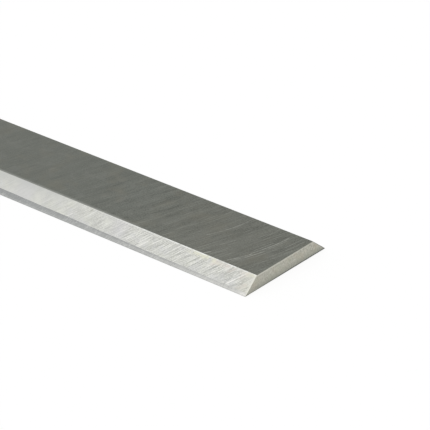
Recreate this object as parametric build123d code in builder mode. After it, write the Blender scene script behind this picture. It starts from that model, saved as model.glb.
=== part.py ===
from build123d import *
import math
import os

# A double-edged planer knife: a flat steel bar whose two long sides are ground to cutting edges.
# It lies on its wide face. X runs along the bar, Y across it and Z up, from the middle of the wide face.

# Driving sizes, in millimetres and degrees
LENGTH = 330.2  # 13 inches
WIDTH = 23.4  # from one cutting edge to the other
THICKNESS = 3.175  # 1/8 inch
BEVEL_ANGLE = 41.0  # between each ground side and the wide face
HONED_BACK = 0.11  # how far honing moves a cutting edge in from the ground corner
LAND_HEIGHT = 0.95  # how high the honed land reaches up the ground side
END_LAND_HEIGHT = 0.50  # the same at the two ends of the bar, where the land is narrower
LAND_TAPER = 70.0  # length over which the land narrows towards each end
END_BREAK = 0.12  # corner taken off all round each end face

# Lengths worked out from them
HALF_LENGTH = LENGTH / 2
HALF_WIDTH = WIDTH / 2
GROUND_WIDTH = WIDTH + 2 * HONED_BACK
GROUND_RUN_PER_RISE = 1 / math.tan(math.radians(BEVEL_ANGLE))
OVERRUN = THICKNESS / 4  # how far the honing cut passes the metal on every side


def land_height(x):
    """Height of the land at a place along the bar: full in the middle, falling evenly to the ends."""
    from_end = HALF_LENGTH - abs(x)
    rate = (LAND_HEIGHT - END_LAND_HEIGHT) / LAND_TAPER
    return min(LAND_HEIGHT, END_LAND_HEIGHT + rate * from_end)


def honed_away(x, side):
    """Corners of what honing takes off at a place along the bar: all that lies outside the land's line,
    which rises from the cutting edge to meet the ground side at the land's height."""
    height = land_height(x)
    land_run_per_rise = GROUND_RUN_PER_RISE - HONED_BACK / height
    foot = HALF_WIDTH + land_run_per_rise * OVERRUN
    head = HALF_WIDTH - land_run_per_rise * (height + OVERRUN)
    return [
        (side * foot, -OVERRUN),
        (side * foot, height + OVERRUN),
        (side * head, height + OVERRUN),
    ]


with BuildPart() as planer_knife:
    # The ground bar: its wide face below, its narrow face above and both long sides sloping
    with BuildSketch(Plane.YZ.offset(-HALF_LENGTH)):
        Trapezoid(GROUND_WIDTH, THICKNESS, BEVEL_ANGLE, align=(Align.CENTER, Align.MIN))
    extrude(amount=LENGTH)

    # The end faces are square to the bar, and the corner all round each one is broken.
    end_faces = planer_knife.faces().filter_by(Axis.X)
    chamfer(end_faces.edges(), length=END_BREAK)

    # Honing comes last: a land along each cutting edge, at full height between its two tapers
    full_land = HALF_LENGTH - LAND_TAPER
    past_end = HALF_LENGTH + OVERRUN
    for side in (-1, 1):
        for x in (-past_end, -full_land, full_land, past_end):
            with BuildSketch(Plane.YZ.offset(x)):
                with BuildLine():
                    Polyline(honed_away(x, side), close=True)
                make_face()
        loft(ruled=True, mode=Mode.SUBTRACT)

planer_knife.part.label = "planer_knife"

os.makedirs("parts", exist_ok=True)
export_step(planer_knife.part, "parts/planer_knife.step")
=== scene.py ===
import math

import bmesh
import bpy
import numpy as np
from mathutils import Matrix, Vector


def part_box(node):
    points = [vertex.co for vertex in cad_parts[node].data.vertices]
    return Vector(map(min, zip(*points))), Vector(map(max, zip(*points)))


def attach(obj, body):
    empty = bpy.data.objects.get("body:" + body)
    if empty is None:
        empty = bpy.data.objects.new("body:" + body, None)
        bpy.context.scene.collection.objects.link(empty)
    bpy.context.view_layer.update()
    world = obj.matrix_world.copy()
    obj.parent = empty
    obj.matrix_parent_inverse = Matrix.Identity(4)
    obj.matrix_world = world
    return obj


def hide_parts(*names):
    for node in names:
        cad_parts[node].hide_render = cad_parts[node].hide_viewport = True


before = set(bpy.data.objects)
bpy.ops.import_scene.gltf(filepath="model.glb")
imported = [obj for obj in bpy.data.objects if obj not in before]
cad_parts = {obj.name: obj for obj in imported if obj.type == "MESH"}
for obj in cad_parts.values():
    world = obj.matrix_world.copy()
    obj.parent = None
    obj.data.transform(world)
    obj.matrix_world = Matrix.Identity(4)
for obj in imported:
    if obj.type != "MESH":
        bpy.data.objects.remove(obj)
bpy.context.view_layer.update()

# The knife's sizes: its box comes from the frame, and the rest are the sizes that its solid was drawn with.
MM = 0.001
_, high_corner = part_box("planer_knife")
HALF_LENGTH = high_corner.x
HALF_WIDTH = high_corner.y
THICKNESS = high_corner.z
BEVEL_ANGLE = math.radians(41.0)
HONED_BACK = 0.11 * MM
LAND_HEIGHT = 0.95 * MM
END_LAND_HEIGHT = 0.50 * MM
LAND_TAPER = 70.0 * MM

# The land's border wavers as handwork does: three sines along the bar, each with its height and its length
# over two pi in millimetres, and its start
WAVER = ((0.014, 5.9, 0.0), (0.010, 2.3, 1.0), (0.006, 0.9, 2.0))

# The corners are worn round, within the solid's own chamfer.
END_RADIUS = 0.12 * MM
LOWER_END_RADIUS = 0.05 * MM
ARRIS_RADIUS = 0.15 * MM
ROUND_STEPS = 4
STATION_STEP = 1.0 * MM

# Points nearer than this are merged, and edges shorter than this are taken out, in metres.
MERGED_WITHIN = 1e-7
SHORTEST_EDGE = 1e-8

# The map that the finish is baked through when the knife is exported: its name, how many lengths the skin is
# cut into, how much larger the ends are drawn, and the gap between pieces
BAKE_MAP = "OFBake"
LENGTHS = 3
ENDS_DRAWN = 2.0
MAP_GAP = 0.5 * MM

# Where the photograph was taken from, about the middle of the near end's lower edge: angles in degrees, the
# lens and its sensor in millimetres, and the nearest and farthest distances that it sees in metres
VIEW_AZIMUTH = 43.394
VIEW_ELEVATION = 28.746
VIEW_ROLL = -2.858
VIEW_DISTANCE = 505.11 * MM
VIEW_ASIDE = 13.526 * MM
VIEW_BELOW = 10.964 * MM
FOCAL_LENGTH = 221.3
SENSOR_WIDTH = 36.0
NEAREST_SEEN = 0.01
FARTHEST_SEEN = 50.0


# Camera

def add_camera():
    """Stands on the line of sight through the near end, then moves aside in its own picture plane."""
    azimuth, elevation = math.radians(VIEW_AZIMUTH), math.radians(VIEW_ELEVATION)
    back = Vector((math.sin(azimuth) * math.cos(elevation),
                   -math.cos(azimuth) * math.cos(elevation),
                   math.sin(elevation)))
    level = Vector((math.cos(azimuth), math.sin(azimuth), 0.0))
    roll = Matrix.Rotation(math.radians(VIEW_ROLL), 3, back)
    right = roll @ level
    up = roll @ back.cross(level)
    near_end = Vector((HALF_LENGTH, 0.0, 0.0))
    place = near_end + back * VIEW_DISTANCE - right * VIEW_ASIDE + up * VIEW_BELOW
    data = bpy.data.cameras.new("camera")
    data.lens = FOCAL_LENGTH
    data.sensor_width = SENSOR_WIDTH
    data.clip_start = NEAREST_SEEN
    data.clip_end = FARTHEST_SEEN
    camera = bpy.data.objects.new("camera", data)
    camera.matrix_world = Matrix.LocRotScale(place, Matrix((right, up, back)).transposed(), None)
    bpy.context.scene.collection.objects.link(camera)
    bpy.context.scene.camera = camera


# The knife's surface

def land_heights(x):
    """Height of the honed land: full in the middle, falling evenly to the ends, plus its slight waver, which
    is the sum of height * sin(x / length + start) over the three sines."""
    from_end = HALF_LENGTH - np.abs(x)
    even = END_LAND_HEIGHT + (LAND_HEIGHT - END_LAND_HEIGHT) / LAND_TAPER * from_end
    waver = sum(height * np.sin(x / (length * MM) + start) for height, length, start in WAVER)
    return np.minimum(LAND_HEIGHT, even) + waver * MM


def half_sections(x, inset):
    """One side's outline at each station, from the cutting edge up to the narrow face, as arrays of y and z.

    The ground side is the line y = foot - z / tan(bevel angle). The land is the steeper line from the
    cutting edge to where it meets that side at the land's height. The corner above is an arc that
    touches the side and the narrow face. Near an end the sides and the top move in by inset and the bottom
    by less, and the land, honed last, stays where it is."""
    lowest = inset * LOWER_END_RADIUS / END_RADIUS
    run_per_rise = 1 / math.tan(BEVEL_ANGLE)
    side_foot = HALF_WIDTH + HONED_BACK - inset / math.sin(BEVEL_ANGLE)
    height = land_heights(x)
    land_run = run_per_rise - HONED_BACK / height
    edge_y = np.minimum(HALF_WIDTH - lowest * land_run, side_foot - lowest * run_per_rise)
    head_z = np.maximum(height * (1 - inset / (math.sin(BEVEL_ANGLE) * HONED_BACK)), lowest)
    head_y = side_foot - head_z * run_per_rise
    top_z = THICKNESS - inset
    arc_y = side_foot - top_z * run_per_rise - ARRIS_RADIUS * math.tan(BEVEL_ANGLE / 2)
    arc_z = top_z - ARRIS_RADIUS
    turn = np.linspace(math.pi / 2 - BEVEL_ANGLE, math.pi / 2, ROUND_STEPS + 1)
    round_y = arc_y[:, None] + ARRIS_RADIUS * np.cos(turn)
    round_z = arc_z[:, None] + ARRIS_RADIUS * np.sin(turn)
    y = np.concatenate([edge_y[:, None], head_y[:, None], round_y], axis=1)
    z = np.concatenate([lowest[:, None], head_z[:, None], round_z], axis=1)
    return y, z


def stations():
    """Places along the bar and how far each section is drawn in: evenly spaced between the ends, then a
    quarter circle of small steps into each end face."""
    plain_end = HALF_LENGTH - END_RADIUS
    count = int(round(2 * plain_end / STATION_STEP)) + 1
    plain = np.linspace(-plain_end, plain_end, count)
    turn = np.linspace(0, math.pi / 2, ROUND_STEPS + 1)[1:]
    beyond = plain_end + END_RADIUS * np.sin(turn)
    drawn_in = END_RADIUS * (1 - np.cos(turn))
    x = np.concatenate([-beyond[::-1], plain, beyond])
    inset = np.concatenate([drawn_in[::-1], np.zeros(count), drawn_in])
    return x, inset


FACETS = 9
(NARROW_FACE, GROUND_SIDE, HONED_LAND, WIDE_FACE, END_FACE,
 LONG_CORNER, TOP_END_CORNER, SIDE_END_CORNER, LOWER_CORNER) = range(FACETS)


def knife_faces(rows, columns, inset):
    """The four corners of every face and the facet that it belongs to: a grid of faces round the bar, and
    then, across each end, a row of faces that joins the points of one side to those of the other.

    The columns go from the near cutting edge over the land, the side, its corner and the narrow face, and
    down to the other cutting edge. The last one comes back under the knife."""
    half = columns // 2
    i, k = np.meshgrid(np.arange(rows - 1), np.arange(columns), indexing="ij")
    after = (k + 1) % columns
    round_bar = np.stack([i * columns + k, (i + 1) * columns + k,
                          (i + 1) * columns + after, i * columns + after], axis=-1)
    facet = np.full(columns, LONG_CORNER)
    facet[[0, columns - 2]] = HONED_LAND
    facet[[1, columns - 3]] = GROUND_SIDE
    facet[half - 1] = NARROW_FACE
    facet[columns - 1] = WIDE_FACE
    end_corner = np.full(columns, TOP_END_CORNER)
    end_corner[[0, 1, columns - 3, columns - 2]] = SIDE_END_CORNER
    end_corner[columns - 1] = LOWER_CORNER
    in_end = (inset[i] + inset[i + 1]) > 0
    facets_round = np.where(in_end, end_corner[k], facet[k])

    k = np.arange(half - 1)
    last = (rows - 1) * columns
    across_first = np.stack([k, k + 1, columns - 2 - k, columns - 1 - k], axis=-1)
    across_last = np.stack([last + k, last + columns - 1 - k, last + columns - 2 - k, last + k + 1], axis=-1)
    faces = np.concatenate([round_bar.reshape(-1, 4), across_first, across_last])
    facets = np.concatenate([facets_round.ravel(), np.full(2 * (half - 1), END_FACE)])
    return faces, facets


def places_of_marks(corners, facets, land_border):
    """Places that the grinding marks are worked out from, for corners in millimetres: along the bar, and
    across it on a flat face or up the slope of a side. Along a side they run to the right, as it is seen from
    outside, and on the land they are counted from its upper border. On an end face they are across the bar
    and up."""
    facet = np.repeat(facets[:, None], 4, axis=1)
    side = np.where(corners[..., 1].mean(axis=1)[:, None] > 0, 1.0, -1.0)
    sloping = np.isin(facet, (GROUND_SIDE, HONED_LAND))
    foot = np.where(facet == HONED_LAND, land_border, 0.0)
    up_slope = (corners[..., 2] - foot) / math.sin(BEVEL_ANGLE)
    along = np.where(sloping, -side * corners[..., 0], corners[..., 0])
    across = np.where(sloping, up_slope, corners[..., 1])
    along = np.where(facet == END_FACE, corners[..., 1], along)
    across = np.where(facet == END_FACE, corners[..., 2], across)
    return np.stack([along, across], axis=-1)


def skin_laid_flat(x, inset, y, z):
    """Places on the bake map of the corners of the faces round the bar, for each station and each column.

    The skin is unrolled and cut into equal lengths, one above another. Along a length, a place is the sum of
    the steps between stations, and up it is the sum of the steps round the middle section. Also returned are
    the map's size in metres and the height that the lengths take up."""
    middle = len(x) // 2
    along = np.concatenate([[0.0], np.cumsum(np.hypot(np.diff(x), np.diff(inset)))])
    closed_y = np.append(y[middle], y[middle, 0])
    closed_z = np.append(z[middle], z[middle, 0])
    around = np.concatenate([[0.0], np.cumsum(np.hypot(np.diff(closed_y), np.diff(closed_z)))])
    length = (LENGTHS * (along[:-1] + along[1:]) / 2 / along[-1]).astype(int)
    starts = along[np.searchsorted(length, np.arange(LENGTHS))]
    left = (MAP_GAP + along[:-1] - starts[length])[:, None]
    right = (MAP_GAP + along[1:] - starts[length])[:, None]
    foot = (MAP_GAP + length * (around[-1] + MAP_GAP))[:, None]
    low, high = foot + around[:-1], foot + around[1:]
    across = np.stack(np.broadcast_arrays(left, right, right, left, high)[:4], axis=-1)
    up = np.stack([low, low, high, high], axis=-1)
    used = MAP_GAP + LENGTHS * (around[-1] + MAP_GAP)
    size = (right.max() + MAP_GAP, used + ENDS_DRAWN * THICKNESS + MAP_GAP)
    return np.stack([across, up], axis=-1).reshape(-1, 4, 2), size, used


def places_to_bake(x, inset, y, z, corners):
    """Places on the bake map, for corners in metres: the skin laid flat, and above it the two ends, each as
    it is seen from outside. Their middles lie at a quarter and at three quarters of the map's width."""
    skin, size, used = skin_laid_flat(x, inset, y, z)
    ends = corners[len(skin):] * ENDS_DRAWN
    outwards = np.repeat([-1.0, 1.0], len(ends) // 2)[:, None]
    middle = size[0] * (0.5 + 0.25 * outwards)
    ends = np.stack([middle + outwards * ends[..., 1], used + ends[..., 2]], axis=-1)
    return np.concatenate([skin, ends]) / size


def add_map(mesh, name, places):
    """Puts a map's places into the mesh, one for each corner of each face."""
    layer = mesh.uv_layers.new(name=name)
    layer.uv.foreach_set("vector", places.astype(np.float32).ravel())


def knife_mesh():
    """The section carried along the bar as one grid of faces, and each end closed between its two sides."""
    x, inset = stations()
    side_y, side_z = half_sections(x, inset)
    y = np.concatenate([-side_y, side_y[:, ::-1]], axis=1)
    z = np.concatenate([side_z, side_z[:, ::-1]], axis=1)
    rows, columns = y.shape
    points = np.stack([np.repeat(x[:, None], columns, axis=1), y, z], axis=-1).reshape(-1, 3)
    land_border = np.repeat(z[:, 1], columns)
    faces, facets = knife_faces(rows, columns, inset)

    mesh = bpy.data.meshes.new("ground_knife")
    mesh.from_pydata(points.tolist(), [], faces.tolist())
    mesh.polygons.foreach_set("material_index", facets.astype(np.int32))
    mesh.polygons.foreach_set("use_smooth", facets >= LONG_CORNER)
    add_map(mesh, "marks", places_of_marks(points[faces] / MM, facets, land_border[faces] / MM))
    add_map(mesh, BAKE_MAP, places_to_bake(x, inset, y, z, points[faces]))
    mesh.update()

    work = bmesh.new()
    work.from_mesh(mesh)
    bmesh.ops.remove_doubles(work, verts=work.verts, dist=MERGED_WITHIN)
    bmesh.ops.dissolve_degenerate(work, edges=work.edges, dist=SHORTEST_EDGE)
    work.to_mesh(mesh)
    work.free()
    return mesh


# Shader nodes

def add_node(tree, kind, inputs=None, **settings):
    """Adds a node. A setting is a property of the node, and an input is a value or the output to link."""
    node = tree.nodes.new(kind)
    for name, value in settings.items():
        setattr(node, name, value)
    for name, value in (inputs or {}).items():
        if isinstance(value, bpy.types.NodeSocket):
            tree.links.new(value, node.inputs[name])
        else:
            node.inputs[name].default_value = value
    return node


def calculate(tree, operation, first, second=0.0):
    """One step of arithmetic on numbers or outputs."""
    return add_node(tree, "ShaderNodeMath", {0: first, 1: second}, operation=operation).outputs[0]


def ramp(tree, value, low, high, at_low=0.0, at_high=1.0):
    """Goes smoothly from at_low to at_high as the value goes from low to high, which may be the smaller."""
    return add_node(tree, "ShaderNodeMapRange", {
        "Value": value, "From Min": low, "From Max": high, "To Min": at_low, "To Max": at_high},
        interpolation_type="SMOOTHSTEP").outputs[0]


def even_ramp(tree, value, low, high, at_low=0.0, at_high=1.0):
    """Goes evenly from at_low to at_high as the value goes from low to high."""
    return add_node(tree, "ShaderNodeMapRange", {
        "Value": value, "From Min": low, "From Max": high, "To Min": at_low, "To Max": at_high}).outputs[0]


def noise(tree, place, scale, detail, roughness=0.5):
    """A soft random value from 0 to 1 in space, with about scale hills to each unit of place."""
    return add_node(tree, "ShaderNodeTexNoise", {
        "Vector": place, "Scale": scale, "Detail": detail, "Roughness": roughness}).outputs[0]


def blend_colour(tree, amount, under, over):
    """Goes from one colour to the other as the amount goes from 0 to 1."""
    mix = add_node(tree, "ShaderNodeMix", data_type="RGBA")
    for socket, value in ((0, amount), (6, under), (7, over)):
        if isinstance(value, bpy.types.NodeSocket):
            tree.links.new(value, mix.inputs[socket])
        else:
            mix.inputs[socket].default_value = value
    return mix.outputs[2]


def half_chord(tree, radius, rise):
    """How far a circle of the radius reaches at a height of rise from its centre: sqrt(radius^2 - rise^2).
    Beyond the circle it stays a little above 0."""
    under_root = calculate(tree, "SUBTRACT", calculate(tree, "MULTIPLY", radius, radius),
                           calculate(tree, "MULTIPLY", rise, rise))
    return calculate(tree, "SQRT", calculate(tree, "MAXIMUM", under_root, 0.01))


def new_group(name, inputs, outputs):
    """An empty node group with the inputs and outputs named, each a float unless it is called Vector."""
    tree = bpy.data.node_groups.new(name, "ShaderNodeTree")
    for socket in inputs:
        kind = "NodeSocketVector" if socket == "Vector" else "NodeSocketFloat"
        tree.interface.new_socket(name=socket, in_out="INPUT", socket_type=kind)
    for socket in outputs:
        tree.interface.new_socket(name=socket, in_out="OUTPUT", socket_type="NodeSocketFloat")
    return tree, tree.nodes.new("NodeGroupInput").outputs, tree.nodes.new("NodeGroupOutput").inputs


# Bands of streaks are this much further apart and longer than the streaks.
BANDS_APART = 6.0
BANDS_LONGER = 3.0

# A scratch of the grinding shows where a slow noise along it goes from the first value to the second.
# Scratches are up to this far apart in that noise, so that each one shows in places of its own.
SHOWS_FROM, SHOWS_WHOLE = 0.46, 0.62
OWN_NOISE = 97.0

# A single scratch appears between these distances inside each of its ends, in millimetres. A noise along it,
# going from the first value to the second, leaves a share of it or the whole.
ENDS_FADE = (-0.1, 0.4)
BROKEN_FROM, BROKEN_TO, BROKEN_SHARE = 0.34, 0.56, 0.3


def grinding_marks():
    """Marks of a cup wheel: arcs of one radius, each a little further along the bar than the last.

    An arc through (along, across) is named by along - sqrt(radius^2 - (across - centre)^2), which is the same
    all the way along it. Noise on that number, stretched out along the arc, gives the streaks and the
    broader bands, and a thin line round random values of it gives the scratches."""
    tree, given, out = new_group(
        "grinding marks",
        ("Vector", "Radius", "Centre", "Spacing", "Length", "Scratch pitch", "Scratch width", "Seed"),
        ("Streaks", "Bands", "Scratches"))
    place = add_node(tree, "ShaderNodeSeparateXYZ", {0: given["Vector"]}).outputs
    rise = calculate(tree, "SUBTRACT", place["Y"], given["Centre"])
    arc = calculate(tree, "SUBTRACT", place["X"], half_chord(tree, given["Radius"], rise))
    turned = calculate(tree, "ARCSINE", calculate(tree, "DIVIDE", rise, given["Radius"]))
    along_arc = calculate(tree, "MULTIPLY", turned, given["Radius"])

    def stretched(spacing, length, detail):
        where = add_node(tree, "ShaderNodeCombineXYZ", {
            "X": calculate(tree, "DIVIDE", arc, spacing),
            "Y": calculate(tree, "DIVIDE", along_arc, length),
            "Z": given["Seed"]}).outputs[0]
        return noise(tree, where, 1.0, detail, 0.65)

    streaks = stretched(given["Spacing"], given["Length"], 3.0)
    bands = stretched(calculate(tree, "MULTIPLY", given["Spacing"], BANDS_APART),
                      calculate(tree, "MULTIPLY", given["Length"], BANDS_LONGER), 1.0)
    line = add_node(tree, "ShaderNodeTexVoronoi", {
        "W": calculate(tree, "ADD", calculate(tree, "DIVIDE", arc, given["Scratch pitch"]), given["Seed"]),
        "Scale": 1.0}, voronoi_dimensions="1D")
    width = calculate(tree, "DIVIDE", given["Scratch width"], given["Scratch pitch"])
    near_line = ramp(tree, line.outputs["Distance"], 0.0, width, 1.0, 0.0)
    random_numbers = add_node(tree, "ShaderNodeSeparateColor", {0: line.outputs["Color"]}).outputs
    along_scratch = add_node(tree, "ShaderNodeCombineXYZ", {
        "X": calculate(tree, "MULTIPLY", random_numbers[0], OWN_NOISE),
        "Y": calculate(tree, "DIVIDE", along_arc, given["Length"]),
        "Z": given["Seed"]}).outputs[0]
    shown = ramp(tree, noise(tree, along_scratch, 1.0, 1.0), SHOWS_FROM, SHOWS_WHOLE)
    scratches = calculate(tree, "MULTIPLY", calculate(tree, "MULTIPLY", near_line, shown), random_numbers[1])
    tree.links.new(streaks, out["Streaks"])
    tree.links.new(bands, out["Bands"])
    tree.links.new(scratches, out["Scratches"])
    return tree


def single_scratch():
    """One scratch of its own: a thin broken line along an arc, between a lowest and a highest place across.

    The arc is at Along where the place across is 0, so at any other place across it lies further along by
    sqrt(radius^2 - (across - centre)^2) - sqrt(radius^2 - centre^2)."""
    tree, given, out = new_group(
        "single scratch", ("Vector", "Along", "Lowest", "Highest", "Radius", "Centre", "Width"), ("Scratch",))
    place = add_node(tree, "ShaderNodeSeparateXYZ", {0: given["Vector"]}).outputs
    rise = calculate(tree, "SUBTRACT", place["Y"], given["Centre"])
    further = calculate(tree, "SUBTRACT", half_chord(tree, given["Radius"], rise),
                        half_chord(tree, given["Radius"], given["Centre"]))
    off_line = calculate(tree, "SUBTRACT", calculate(tree, "SUBTRACT", place["X"], given["Along"]), further)
    near_line = ramp(tree, calculate(tree, "ABSOLUTE", off_line), given["Width"], 0.0)
    above_low = ramp(tree, calculate(tree, "SUBTRACT", place["Y"], given["Lowest"]), *ENDS_FADE)
    below_high = ramp(tree, calculate(tree, "SUBTRACT", given["Highest"], place["Y"]), *ENDS_FADE)
    between = calculate(tree, "MULTIPLY", above_low, below_high)
    depth = ramp(tree, noise(tree, given["Vector"], 0.9, 3.0, 0.7), BROKEN_FROM, BROKEN_TO, BROKEN_SHARE, 1.0)
    broken = calculate(tree, "MULTIPLY", between, depth)
    tree.links.new(calculate(tree, "MULTIPLY", near_line, broken), out["Scratch"])
    return tree


def tone(red, green, blue):
    """A colour given as a screen shows it, from 0 to 255, turned to the light that it stands for."""
    screen = np.array([red, green, blue]) / 255
    light = np.where(screen <= 0.04045, screen / 12.92, ((screen + 0.055) / 1.055) ** 2.4)
    return (*light.tolist(), 1.0)


# How far the marks go into the steel, how much its gloss changes with them, and the levels of the marks
# between which it changes
RELIEF = 0.004 * MM
FINE_RELIEF = 0.002 * MM
GLOSS_CHANGE = 0.06
DULL_LEVEL, GLOSSY_LEVEL = 0.34, 0.66


class Facet:
    """A facet's steel while it is being made: its nodes, places on it in millimetres, and its colour so far.

    The level of the marks mixes the grinding's streaks with its broader bands, in the share uneven, and with
    a speckle of about so many grains to the millimetre, in the share grainy. The colour goes from dark to
    light as the level goes from soft below its middle to soft above it, and other colours are laid over it.
    With fades, which are two distances from the end and a share, the difference between dark and light keeps
    its whole strength up to the first distance, and that share of it beyond the second. The level also varies
    the steel's gloss and presses into its surface."""

    def __init__(self, name, marks, grinding, dark, light, soft=0.16, fades=None, uneven=0.2, grainy=0.15,
                 grains=4.0):
        self.material = bpy.data.materials.new(name)
        self.material.use_nodes = True
        self.tree = self.material.node_tree
        self.tree.nodes.clear()
        self.place = add_node(self.tree, "ShaderNodeUVMap", uv_map="marks").outputs[0]
        split = add_node(self.tree, "ShaderNodeSeparateXYZ", {0: self.place}).outputs
        self.along = split["X"]
        self.across = split["Y"]
        self.from_end = calculate(self.tree, "SUBTRACT", HALF_LENGTH / MM,
                                  calculate(self.tree, "ABSOLUTE", self.along))
        group = add_node(self.tree, "ShaderNodeGroup", {"Vector": self.place, **grinding}, node_tree=marks)
        self.scratches = group.outputs["Scratches"]
        streaks = self.times(group.outputs["Streaks"], 1.0 - grainy - uneven)
        bands = self.times(group.outputs["Bands"], uneven)
        speckle = self.times(noise(self.tree, self.place, grains, 2.0, 0.7), grainy)
        self.level = calculate(self.tree, "ADD", calculate(self.tree, "ADD", streaks, bands), speckle)
        amount = even_ramp(self.tree, self.level, 0.5 - soft, 0.5 + soft)
        if fades:
            near, far, share_left = fades
            swing = self.times(calculate(self.tree, "SUBTRACT", amount, 0.5),
                               self.by_distance(near, far, 1.0, share_left))
            amount = calculate(self.tree, "ADD", swing, 0.5)
        self.colour = blend_colour(self.tree, amount, dark, light)

    def times(self, first, second):
        """One amount times another."""
        return calculate(self.tree, "MULTIPLY", first, second)

    def by_distance(self, low, high, at_low=0.0, at_high=1.0):
        """An amount that goes with the distance from the nearer end of the bar."""
        return ramp(self.tree, self.from_end, low, high, at_low, at_high)

    def by_width(self, low, high, at_low=0.0, at_high=1.0):
        """An amount that goes with the place across the facet."""
        return ramp(self.tree, self.across, low, high, at_low, at_high)

    def by_length(self, low, high, at_low=0.0, at_high=1.0):
        """An amount that goes with the place along the facet."""
        return ramp(self.tree, self.along, low, high, at_low, at_high)

    def between(self, far, near, soft=3.0):
        """1 between two distances from the end, and 0 outside them, with soft borders that lie inside."""
        return self.times(self.by_distance(far, far - soft), self.by_distance(near, near + soft))

    def clouds(self, scale, low, high, most, seed):
        """Soft patches: from 0 to the most, where a slow noise goes from low to high."""
        moved = add_node(self.tree, "ShaderNodeMapping", {"Vector": self.place, "Location": (seed, seed, 0)})
        return ramp(self.tree, noise(self.tree, moved.outputs[0], scale, 2.0, 0.6), low, high, 0.0, most)

    def lay(self, amount, colour):
        """Lays a colour over the surface, where the amount goes from 0 to 1."""
        self.colour = blend_colour(self.tree, amount, self.colour, colour)

    def scratch_over(self, scratch, places, centre, colour):
        """Lays single marks of one colour over the surface, each in its own place."""
        for from_end, lowest, highest, radius, width, strength in places:
            line = add_node(self.tree, "ShaderNodeGroup", {
                "Vector": self.place, "Along": HALF_LENGTH / MM - from_end, "Lowest": lowest,
                "Highest": highest, "Radius": radius, "Centre": centre, "Width": width}, node_tree=scratch)
            self.lay(self.times(line.outputs[0], strength), colour)

    def finish(self, roughness, relief):
        """Puts the colour, the gloss and the relief into the shader."""
        gloss = even_ramp(self.tree, self.level, DULL_LEVEL, GLOSSY_LEVEL,
                          roughness + GLOSS_CHANGE, roughness - GLOSS_CHANGE)
        bump = add_node(self.tree, "ShaderNodeBump", {
            "Strength": 1.0, "Distance": relief, "Height": self.level}).outputs[0]
        shader = add_node(self.tree, "ShaderNodeBsdfPrincipled", {
            "Base Color": self.colour, "Metallic": 1.0, "Roughness": gloss, "Normal": bump})
        output = add_node(self.tree, "ShaderNodeOutputMaterial")
        self.tree.links.new(shader.outputs[0], output.inputs["Surface"])
        return self.material


# How far across each facet the centre of the single marks' arcs lies, in millimetres
FLAT_CENTRE = 9.0
SIDE_CENTRE = 44.5

# How each facet was ground, in millimetres: the wheel's radius and the height of its centre across the facet,
# the spacing and length of its streaks, and how far apart and how wide its scratches are
FLAT_GRINDING = {"Radius": 140.0, "Centre": 39.5, "Spacing": 0.33, "Length": 5.0,
                 "Scratch pitch": 0.6, "Scratch width": 0.10, "Seed": 14.0}
UNDER_GRINDING = {**FLAT_GRINDING, "Radius": 42.0, "Centre": 14.0, "Seed": 5.0}
SIDE_GRINDING = {"Radius": 60.0, "Centre": SIDE_CENTRE, "Spacing": 0.24, "Length": 4.4,
                 "Scratch pitch": 0.6, "Scratch width": 0.12, "Seed": 11.0}
HONING = {"Radius": 90.0, "Centre": 40.0, "Spacing": 0.25, "Length": 1.5,
          "Scratch pitch": 1.2, "Scratch width": 0.07, "Seed": 17.0}
SAWING = {"Radius": 40.0, "Centre": 8.0, "Spacing": 0.24, "Length": 0.7,
          "Scratch pitch": 1.1, "Scratch width": 0.06, "Seed": 23.0}

# Marks of their own near the end: how far from the end they cross the middle of the narrow face or the foot
# of the side, their lowest and highest place across, the arc's radius and their half width, in millimetres,
# and strength. The first are bright scratches on the narrow face. On the side there are bright scratches,
# short dark nicks, and wide brownish streaks that the heat of grinding left.
END_SCRATCHES = (
    (5.2, -7.6, -2.6, 34.0, 0.20, 1.0),
    (5.5, -2.8, 6.4, 34.0, 0.17, 0.8),
    (4.7, -7.2, -0.4, 34.0, 0.15, 0.8),
    (5.0, 0.4, 5.4, 34.0, 0.13, 0.5),
    (6.2, -1.6, 3.2, 34.0, 0.14, 0.6),
    (6.9, 1.0, 4.6, 34.0, 0.12, 0.4),
    (3.9, -6.4, 2.2, 34.0, 0.12, 0.4),
    (3.2, 2.6, 7.6, 36.0, 0.13, 0.5),
    (2.2, -2.4, 7.2, 38.0, 0.14, 0.4),
    (1.3, -5.6, 0.6, 38.0, 0.12, 0.4),
    (9.3, 4.6, 8.1, 34.0, 0.15, 0.5),
    (8.9, -7.0, -4.6, 30.0, 0.12, 0.4),
    (16.8, -2.6, 8.0, 23.0, 0.24, 0.45),
    (11.9, -4.0, -0.4, 30.0, 0.15, 0.45),
    (10.9, -3.2, -0.6, 30.0, 0.14, 0.4),
    (22.4, -1.8, 3.4, 26.0, 0.22, 0.18),
    (9.8, -8.3, -6.7, 30.0, 0.30, 1.0),
)
SIDE_SCRATCHES = (
    (6.6, 0.8, 4.8, 60.0, 0.24, 1.0),
    (6.6, 0.9, 3.3, 60.0, 0.17, 0.7),
    (7.5, 2.4, 4.7, 60.0, 0.15, 0.6),
    (10.6, 3.2, 4.8, 60.0, 0.16, 0.8),
    (8.8, 3.9, 4.8, 60.0, 0.20, 0.8),
    (3.8, 0.8, 2.0, 60.0, 0.16, 0.7),
    (10.2, 0.9, 2.4, 60.0, 0.15, 0.6),
    (17.2, 1.7, 2.5, 60.0, 0.15, 0.7),
    (14.6, 3.4, 4.7, 60.0, 0.14, 0.6),
    (20.4, 1.0, 4.0, 60.0, 0.14, 0.6),
    (23.8, 2.0, 4.7, 60.0, 0.16, 0.7),
    (25.2, 1.6, 4.2, 60.0, 0.13, 0.5),
    (29.9, 1.0, 3.1, 60.0, 0.19, 0.9),
    (31.0, 1.2, 4.6, 60.0, 0.14, 0.4),
    (49.6, 0.8, 3.2, 60.0, 0.22, 0.5),
)
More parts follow.
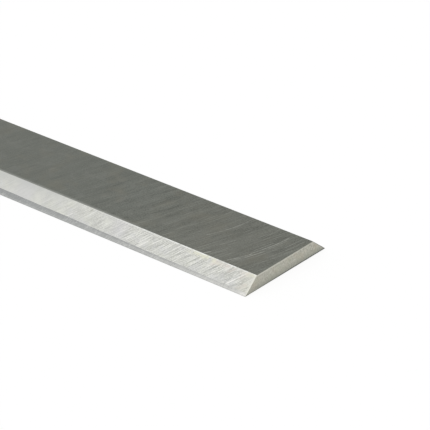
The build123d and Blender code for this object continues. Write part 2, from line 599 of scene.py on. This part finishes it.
DARK_NICKS = (
    (5.8, 2.2, 3.7, 60.0, 0.20, 0.5),
    (2.5, 1.4, 2.5, 60.0, 0.32, 1.0),
    (2.0, 0.4, 1.4, 60.0, 0.28, 0.8),
    (3.7, 0.6, 1.8, 60.0, 0.34, 1.0),
    (5.0, 0.6, 1.5, 60.0, 0.28, 0.7),
    (6.9, 0.5, 1.5, 60.0, 0.26, 0.7),
    (8.2, 2.4, 3.3, 60.0, 0.26, 0.6),
    (8.0, 3.5, 4.5, 60.0, 0.26, 0.7),
    (10.0, 3.6, 4.6, 60.0, 0.26, 0.7),
    (11.0, 1.6, 2.6, 60.0, 0.24, 0.6),
    (12.8, 3.3, 4.0, 60.0, 0.18, 0.5),
    (14.4, 2.0, 2.9, 60.0, 0.17, 0.5),
    (18.8, 3.5, 4.3, 60.0, 0.20, 0.6),
    (24.8, 1.8, 2.7, 60.0, 0.22, 0.5),
    (26.2, 3.4, 4.2, 60.0, 0.18, 0.6),
    (29.9, 3.4, 4.3, 60.0, 0.22, 0.6),
    (30.8, 1.1, 1.9, 60.0, 0.22, 0.7),
    (47.5, 3.6, 4.7, 60.0, 0.36, 0.6),
)
HEAT_STREAKS = (
    (3.6, 0.8, 2.5, 60.0, 0.90, 0.7),
    (6.3, 2.7, 5.0, 60.0, 0.60, 0.5),
    (9.6, 3.0, 4.5, 60.0, 0.60, 0.5),
    (14.0, 3.0, 5.0, 60.0, 0.90, 0.5),
)

# Patches that lie on both flat faces, and tints that the heat of grinding left on the sides
DARK_PATCH = tone(94, 97, 90)
LIGHT_PATCH = tone(116, 117, 111)
STRAW = tone(227, 226, 200)
ROSY = tone(218, 210, 203)
LILAC = tone(199, 198, 201)
PALE_LILAC = tone(202, 201, 203)
HEAT_BROWN = tone(206, 194, 186)


def narrow_face_steel(marks, scratch):
    """The dull face on top: long arcs that fade with the distance from the end, over cloudy patches, with the
    scratches seen near the end. The steel there is lighter, most on the near side, and browner. Further
    along it is a little darker, and a painted highlight lies along the rim of the near side."""
    # The dark tones are partly the steel's own finish and partly a painted reflection of dark surroundings.
    steel = Facet("flat_ground_face", marks, FLAT_GRINDING, tone(68, 71, 65), tone(122, 125, 117),
                  soft=0.10, fades=(6.0, 66.0, 0.24), grainy=0.48, grains=3.2)
    lighter = steel.times(steel.by_distance(30.0, 13.0), steel.by_distance(0.0, 9.0, 0.45, 1.0))
    near_side = steel.by_width(8.0, -3.0, 0.08, 0.34)
    steel.lay(steel.times(lighter, near_side), tone(119, 120, 113))
    steel.lay(steel.clouds(0.40, 0.50, 0.72, 0.40, 61.0), DARK_PATCH)
    steel.lay(steel.clouds(0.40, 0.50, 0.72, 0.40, 67.0), LIGHT_PATCH)
    steel.lay(steel.clouds(0.16, 0.48, 0.70, 0.40, 7.0), tone(114, 112, 99))
    steel.lay(steel.clouds(0.16, 0.50, 0.72, 0.30, 13.0), tone(108, 112, 107))
    steel.lay(steel.by_distance(40.0, 22.0, 0.0, 0.25), tone(104, 103, 93))
    steel.lay(steel.by_distance(42.0, 60.0, 0.0, 0.12), tone(90, 93, 86))
    # A painted highlight along the rim of the near side, away from the end.
    rim = steel.times(steel.by_width(-7.45, -8.1, 0.0, 0.3), steel.by_distance(26.0, 38.0))
    steel.lay(rim, tone(176, 178, 173))
    steel.lay(steel.times(steel.scratches, steel.by_distance(50.0, 4.0, 0.25, 1.0)), tone(144, 146, 139))
    steel.scratch_over(scratch, END_SCRATCHES, FLAT_CENTRE, tone(160, 161, 154))
    return steel.finish(0.36, RELIEF)


def wide_face_steel(marks):
    """The face that the knife lies on, ground like the narrow one."""
    steel = Facet("wide_ground_face", marks, UNDER_GRINDING, tone(88, 91, 84), tone(110, 113, 105))
    steel.lay(steel.clouds(0.40, 0.50, 0.72, 0.40, 71.0), DARK_PATCH)
    steel.lay(steel.clouds(0.40, 0.50, 0.72, 0.40, 73.0), LIGHT_PATCH)
    steel.lay(steel.clouds(0.16, 0.50, 0.72, 0.25, 19.0), tone(114, 111, 98))
    steel.lay(steel.times(steel.scratches, 0.5), tone(132, 134, 127))
    return steel.finish(0.36, RELIEF)


def lay_heat_tints(steel):
    """Tints on a side: lilac in two places further along the bar, and along the upper edge near the end straw
    in two places and rosy between them."""
    steel.lay(steel.times(steel.between(65.0, 57.5), 0.6), LILAC)
    steel.lay(steel.times(steel.between(38.5, 31.5), 0.4), PALE_LILAC)
    high_up = steel.times(steel.by_width(3.4, 4.2), steel.clouds(0.7, 0.36, 0.60, 0.65, 53.0))
    straw = calculate(steel.tree, "MAXIMUM", steel.between(18.5, 7.5), steel.by_distance(3.4, 1.2))
    steel.lay(steel.times(straw, high_up), STRAW)
    rosy = calculate(steel.tree, "MAXIMUM", steel.between(11.5, 4.0), steel.between(4.4, 1.2, 1.0))
    steel.lay(steel.times(rosy, high_up), ROSY)


def ground_side_steel(marks, scratch):
    """The bright sloping sides: slanting streaks, clearer near the ends, over soft patches.

    Near the end there are scratches, nicks and heat tints, and further along broad patches, darker towards
    the upper edge. A painted highlight lies along that edge in places, and another along the last half
    millimetre before the end."""
    # The light tones are partly the steel's own finish and partly a painted reflection of bright
    # surroundings.
    steel = Facet("ground_side", marks, SIDE_GRINDING, tone(163, 164, 159), tone(225, 225, 219),
                  soft=0.06, fades=(14.0, 60.0, 0.30), uneven=0.06, grainy=0.30, grains=3.2)
    steel.lay(steel.clouds(0.35, 0.48, 0.70, 0.35, 31.0), tone(197, 197, 203))
    steel.lay(steel.clouds(0.35, 0.48, 0.70, 0.30, 37.0), tone(213, 215, 202))
    steel.lay(steel.clouds(0.45, 0.46, 0.70, 0.45, 43.0), tone(193, 194, 189))
    far_along = steel.by_distance(34.0, 60.0)
    steel.lay(steel.times(far_along, steel.clouds(0.30, 0.47, 0.64, 0.55, 83.0)), tone(189, 190, 187))
    steel.lay(steel.times(far_along, steel.clouds(0.30, 0.47, 0.64, 0.50, 87.0)), tone(213, 213, 206))
    steel.lay(steel.times(steel.scratches, steel.by_distance(66.0, 20.0, 0.2, 0.9)), tone(240, 240, 236))
    steel.scratch_over(scratch, HEAT_STREAKS, SIDE_CENTRE, HEAT_BROWN)
    steel.scratch_over(scratch, DARK_NICKS, SIDE_CENTRE, tone(132, 132, 126))
    steel.scratch_over(scratch, SIDE_SCRATCHES, SIDE_CENTRE, tone(254, 252, 247))
    lay_heat_tints(steel)
    steel.lay(steel.by_distance(4.0, 1.0, 0.0, 0.35), tone(210, 208, 194))
    steel.lay(steel.by_distance(50.0, 62.0, 0.0, 0.35), tone(192, 193, 188))
    upper_part = steel.times(steel.by_width(2.6, 4.7), steel.by_distance(44.0, 58.0, 0.0, 0.5))
    steel.lay(upper_part, tone(184, 186, 183))
    steel.lay(steel.by_distance(32.0, 26.0, 0.0, 0.2), tone(196, 197, 191))
    # A painted highlight along the upper edge, in places.
    edge_highlight = steel.times(steel.by_width(4.45, 4.75), steel.by_distance(48.0, 24.0))
    in_places = calculate(steel.tree, "ADD", steel.clouds(0.6, 0.40, 0.60, 0.7, 91.0), 0.25)
    steel.lay(steel.times(edge_highlight, in_places), tone(233, 234, 231))
    # A painted highlight along the last half millimetre before the end.
    steel.lay(steel.by_distance(0.6, 0.1, 0.0, 0.6), tone(226, 225, 215))
    return steel.finish(0.34, RELIEF)


def honed_land_steel(marks):
    """The land: grey along the bar, lighter low down there, and brighter to the ends, where the brightening
    is a painted reflection. A darker line is left below its upper border, and a painted contact shadow lies
    along the cutting edge. The streaks are clearest near the ends."""
    steel = Facet("honed_land", marks, HONING, tone(136, 138, 138), tone(159, 161, 160))
    in_space = add_node(steel.tree, "ShaderNodeTexCoord").outputs["Object"]
    height = calculate(steel.tree, "DIVIDE",
                       add_node(steel.tree, "ShaderNodeSeparateXYZ", {0: in_space}).outputs["Z"], MM)
    # Painted reflection: the land grows brighter towards the ends.
    painted_reflection_to_ends = even_ramp(steel.tree, steel.from_end, 68.0, 0.0)
    steel.lay(calculate(steel.tree, "POWER", painted_reflection_to_ends, 1.7), tone(204, 204, 200))
    lower_part = steel.times(ramp(steel.tree, height, 0.5, 0.05), steel.by_distance(30.0, 60.0, 0.0, 0.3))
    steel.lay(lower_part, tone(190, 191, 189))
    # More painted reflection in the last millimetres before the end.
    steel.lay(steel.by_distance(2.4, 0.9, 0.0, 0.85), tone(224, 223, 218))
    border = steel.times(steel.by_width(-0.45, -0.15), steel.by_distance(0.0, 40.0, 0.18, 0.7))
    steel.lay(border, tone(146, 147, 147))
    clear = steel.by_distance(30.0, 66.0, 0.38, 0.15)
    dark_streaks = steel.times(ramp(steel.tree, steel.level, 0.50, 0.40), clear)
    light_streaks = steel.times(ramp(steel.tree, steel.level, 0.53, 0.63), clear)
    steel.lay(dark_streaks, tone(150, 150, 149))
    steel.lay(light_streaks, tone(222, 222, 217))
    steel.lay(steel.times(steel.scratches, 0.5), tone(205, 205, 202))
    # A painted contact shadow along the cutting edge.
    steel.lay(ramp(steel.tree, height, 0.10, 0.03, 0.0, 0.55), tone(150, 151, 149))
    return steel.finish(0.30, FINE_RELIEF)


def end_face_steel(marks):
    """The square end: a speckled beige grey with a painted highlight along its top, painted shade towards its
    foot, and a painted contact shadow along the lower edge. Towards the near side of the bar the upper half
    carries painted light and the highlight along the top is lighter, and the shade at the foot and the shadow
    line are fainter."""
    steel = Facet("sawn_end", marks, SAWING, tone(154, 153, 142), tone(194, 193, 182),
                  soft=0.06, uneven=0.05, grainy=0.5, grains=7.0)
    steel.lay(steel.clouds(0.45, 0.46, 0.68, 0.40, 41.0), tone(180, 171, 155))
    steel.lay(steel.clouds(0.60, 0.46, 0.68, 0.40, 47.0), tone(170, 174, 156))
    steel.lay(steel.times(steel.scratches, 0.5), tone(196, 194, 182))
    # Painted light on the upper half, towards the near side.
    upper_half_painted_light = steel.times(steel.by_width(1.6, 2.2), steel.by_length(-2.0, -7.0, 0.0, 0.4))
    steel.lay(upper_half_painted_light, tone(181, 180, 169))
    # A painted highlight along the top edge.
    top_edge_highlight = steel.times(steel.by_width(2.72, 2.98), steel.by_length(7.0, -7.0, 0.45, 0.85))
    steel.lay(top_edge_highlight, tone(204, 203, 193))
    # Painted shade towards the foot.
    foot = steel.times(steel.by_width(1.75, 0.2), steel.by_length(-7.0, -11.0, 0.82, 0.4))
    steel.lay(foot, tone(150, 151, 141))
    # A painted contact shadow along the lower edge.
    contact_shadow_line = steel.times(steel.by_width(0.36, 0.22), steel.by_length(2.0, -10.0, 1.0, 0.35))
    steel.lay(contact_shadow_line, tone(104, 105, 100))
    return steel.finish(0.45, RELIEF)


def end_corner_steel(name, marks, dark, light, beyond, turn, turned, roughness, unworn=None):
    """A worn round corner of an end face; the colours given may include painted light or shade. The colour
    beyond takes over where the distance from the end goes from turn to turned. On the right of each end, seen
    from outside, it may be of its own colour, without the painted highlight: there the places along and
    across have the same sign, so that their product is above 0."""
    steel = Facet(name, marks, SAWING, dark, light)
    steel.lay(steel.by_distance(turn, turned), beyond)
    if unworn:
        steel.lay(ramp(steel.tree, steel.times(steel.along, steel.across), -100.0, 100.0), unworn)
    return steel.finish(roughness, FINE_RELIEF)


def long_corner_steel(marks):
    """The corner between the narrow face and a side: a little brighter than the narrow face, and about as
    dull near the ends."""
    steel = Facet("long_corner", marks, SIDE_GRINDING, tone(134, 135, 130), tone(152, 153, 147))
    steel.lay(steel.by_distance(45.0, 20.0), tone(112, 114, 108))
    return steel.finish(0.38, FINE_RELIEF)


def knife_materials():
    """One finish for each facet, in the order of their numbers."""
    marks = grinding_marks()
    scratch = single_scratch()
    materials = [None] * FACETS
    materials[NARROW_FACE] = narrow_face_steel(marks, scratch)
    materials[GROUND_SIDE] = ground_side_steel(marks, scratch)
    materials[HONED_LAND] = honed_land_steel(marks)
    materials[WIDE_FACE] = wide_face_steel(marks)
    materials[END_FACE] = end_face_steel(marks)
    materials[LONG_CORNER] = long_corner_steel(marks)
    materials[TOP_END_CORNER] = end_corner_steel(
        "top_end_corner", marks, tone(152, 152, 143), tone(172, 172, 163), beyond=tone(108, 110, 103),
        turn=0.01, turned=0.05, roughness=0.42)
    # The side corners' light colours are a painted highlight.
    materials[SIDE_END_CORNER] = end_corner_steel(
        "side_end_corner", marks, tone(220, 219, 208), tone(234, 233, 223), beyond=tone(180, 179, 168),
        turn=0.04, turned=0.0, roughness=0.36, unworn=tone(134, 134, 126))
    # The lower corner's dark colours are a painted contact shadow.
    materials[LOWER_CORNER] = end_corner_steel(
        "lower_corner", marks, tone(88, 89, 85), tone(104, 104, 100), beyond=tone(84, 85, 81),
        turn=0.12, turned=0.0, roughness=0.5)
    return materials


def add_knife():
    """The visible knife, in place of the plain solid."""
    mesh = knife_mesh()
    for material in knife_materials():
        mesh.materials.append(material)
    knife = bpy.data.objects.new("double_edged_knife", mesh)
    bpy.context.scene.collection.objects.link(knife)
    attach(knife, "root")
    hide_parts("planer_knife")


# Floor, sky and lamps

# How strong the sky is as light on the knife, where 1 is white
SKY_LIGHT = 0.55

# The table top is large and lies a hair below the knife. Its white as light on the knife, and the two shares
# that make it white where it is seen: what the lamps add, which a shadow takes away, and its own glow
TABLE_HALF_SIZE = 3.0
TABLE_DROP = 0.02 * MM
TABLE_WHITE = 0.8
LAMP_SHARE = 0.26
GLOW_SHARE = 0.852


def seen_directly(tree):
    """1 for rays that show the background itself: from the camera, or by way of gloss or glass."""
    path = add_node(tree, "ShaderNodeLightPath").outputs
    straight = calculate(tree, "MAXIMUM", path["Is Camera Ray"], path["Is Glossy Ray"])
    return calculate(tree, "MAXIMUM", straight, path["Is Transmission Ray"])


def add_sky():
    """Plain white where it is seen, and a softer even light elsewhere."""
    world = bpy.data.worlds.new("studio")
    world.use_nodes = True
    bpy.context.scene.world = world
    tree = world.node_tree
    tree.nodes.clear()
    strength = even_ramp(tree, seen_directly(tree), 0.0, 1.0, SKY_LIGHT, 1.0)
    background = add_node(tree, "ShaderNodeBackground", {"Color": (1, 1, 1, 1), "Strength": strength})
    output = add_node(tree, "ShaderNodeOutputWorld")
    tree.links.new(background.outputs[0], output.inputs["Surface"])


def table_top_white():
    """A white that is mostly the table's own where it is seen, plain paper as light on the knife, and clear
    from below."""
    material = bpy.data.materials.new("white_table_top")
    material.use_nodes = True
    tree = material.node_tree
    tree.nodes.clear()
    paper = add_node(tree, "ShaderNodeBsdfDiffuse", {"Color": (TABLE_WHITE, TABLE_WHITE, TABLE_WHITE, 1)})
    lit = add_node(tree, "ShaderNodeBsdfDiffuse", {"Color": (LAMP_SHARE, LAMP_SHARE, LAMP_SHARE, 1)})
    glow = add_node(tree, "ShaderNodeEmission", {"Color": (1, 1, 1, 1), "Strength": GLOW_SHARE})
    white = add_node(tree, "ShaderNodeAddShader", {0: lit.outputs[0], 1: glow.outputs[0]})
    above = add_node(tree, "ShaderNodeMixShader", {
        "Fac": seen_directly(tree), 1: paper.outputs[0], 2: white.outputs[0]})
    from_below = add_node(tree, "ShaderNodeNewGeometry").outputs["Backfacing"]
    clear = add_node(tree, "ShaderNodeBsdfTransparent")
    both = add_node(tree, "ShaderNodeMixShader", {
        "Fac": from_below, 1: above.outputs[0], 2: clear.outputs[0]})
    output = add_node(tree, "ShaderNodeOutputMaterial")
    tree.links.new(both.outputs[0], output.inputs["Surface"])
    return material


def add_floor():
    """A white table top, one square face."""
    half = TABLE_HALF_SIZE
    mesh = bpy.data.meshes.new("table_top")
    corners = [(-half, -half, -TABLE_DROP), (half, -half, -TABLE_DROP),
               (half, half, -TABLE_DROP), (-half, half, -TABLE_DROP)]
    mesh.from_pydata(corners, [], [(0, 1, 2, 3)])
    mesh.materials.append(table_top_white())
    floor = bpy.data.objects.new("table_top", mesh)
    bpy.context.scene.collection.objects.link(floor)


def add_lamp(name, direction, distance, size, power):
    """A square soft lamp that faces the knife and doesn't show in the picture."""
    data = bpy.data.lights.new(name, "AREA")
    data.shape = "SQUARE"
    data.size = size
    data.energy = power
    lamp = bpy.data.objects.new(name, data)
    way = Vector(direction).normalized()
    lamp.location = way * distance
    lamp.rotation_euler = way.to_track_quat("Z", "Y").to_euler()
    lamp.visible_camera = False
    bpy.context.scene.collection.objects.link(lamp)


add_camera()
add_knife()
add_sky()
add_floor()
add_lamp("key_lamp", (-0.60, -0.39, 0.70), distance=1.3, size=0.8, power=0.35)
add_lamp("fill_lamp", (0.7, 0.5, 0.9), distance=1.4, size=1.0, power=0.5)
bpy.context.scene.view_settings.view_transform = "Standard"
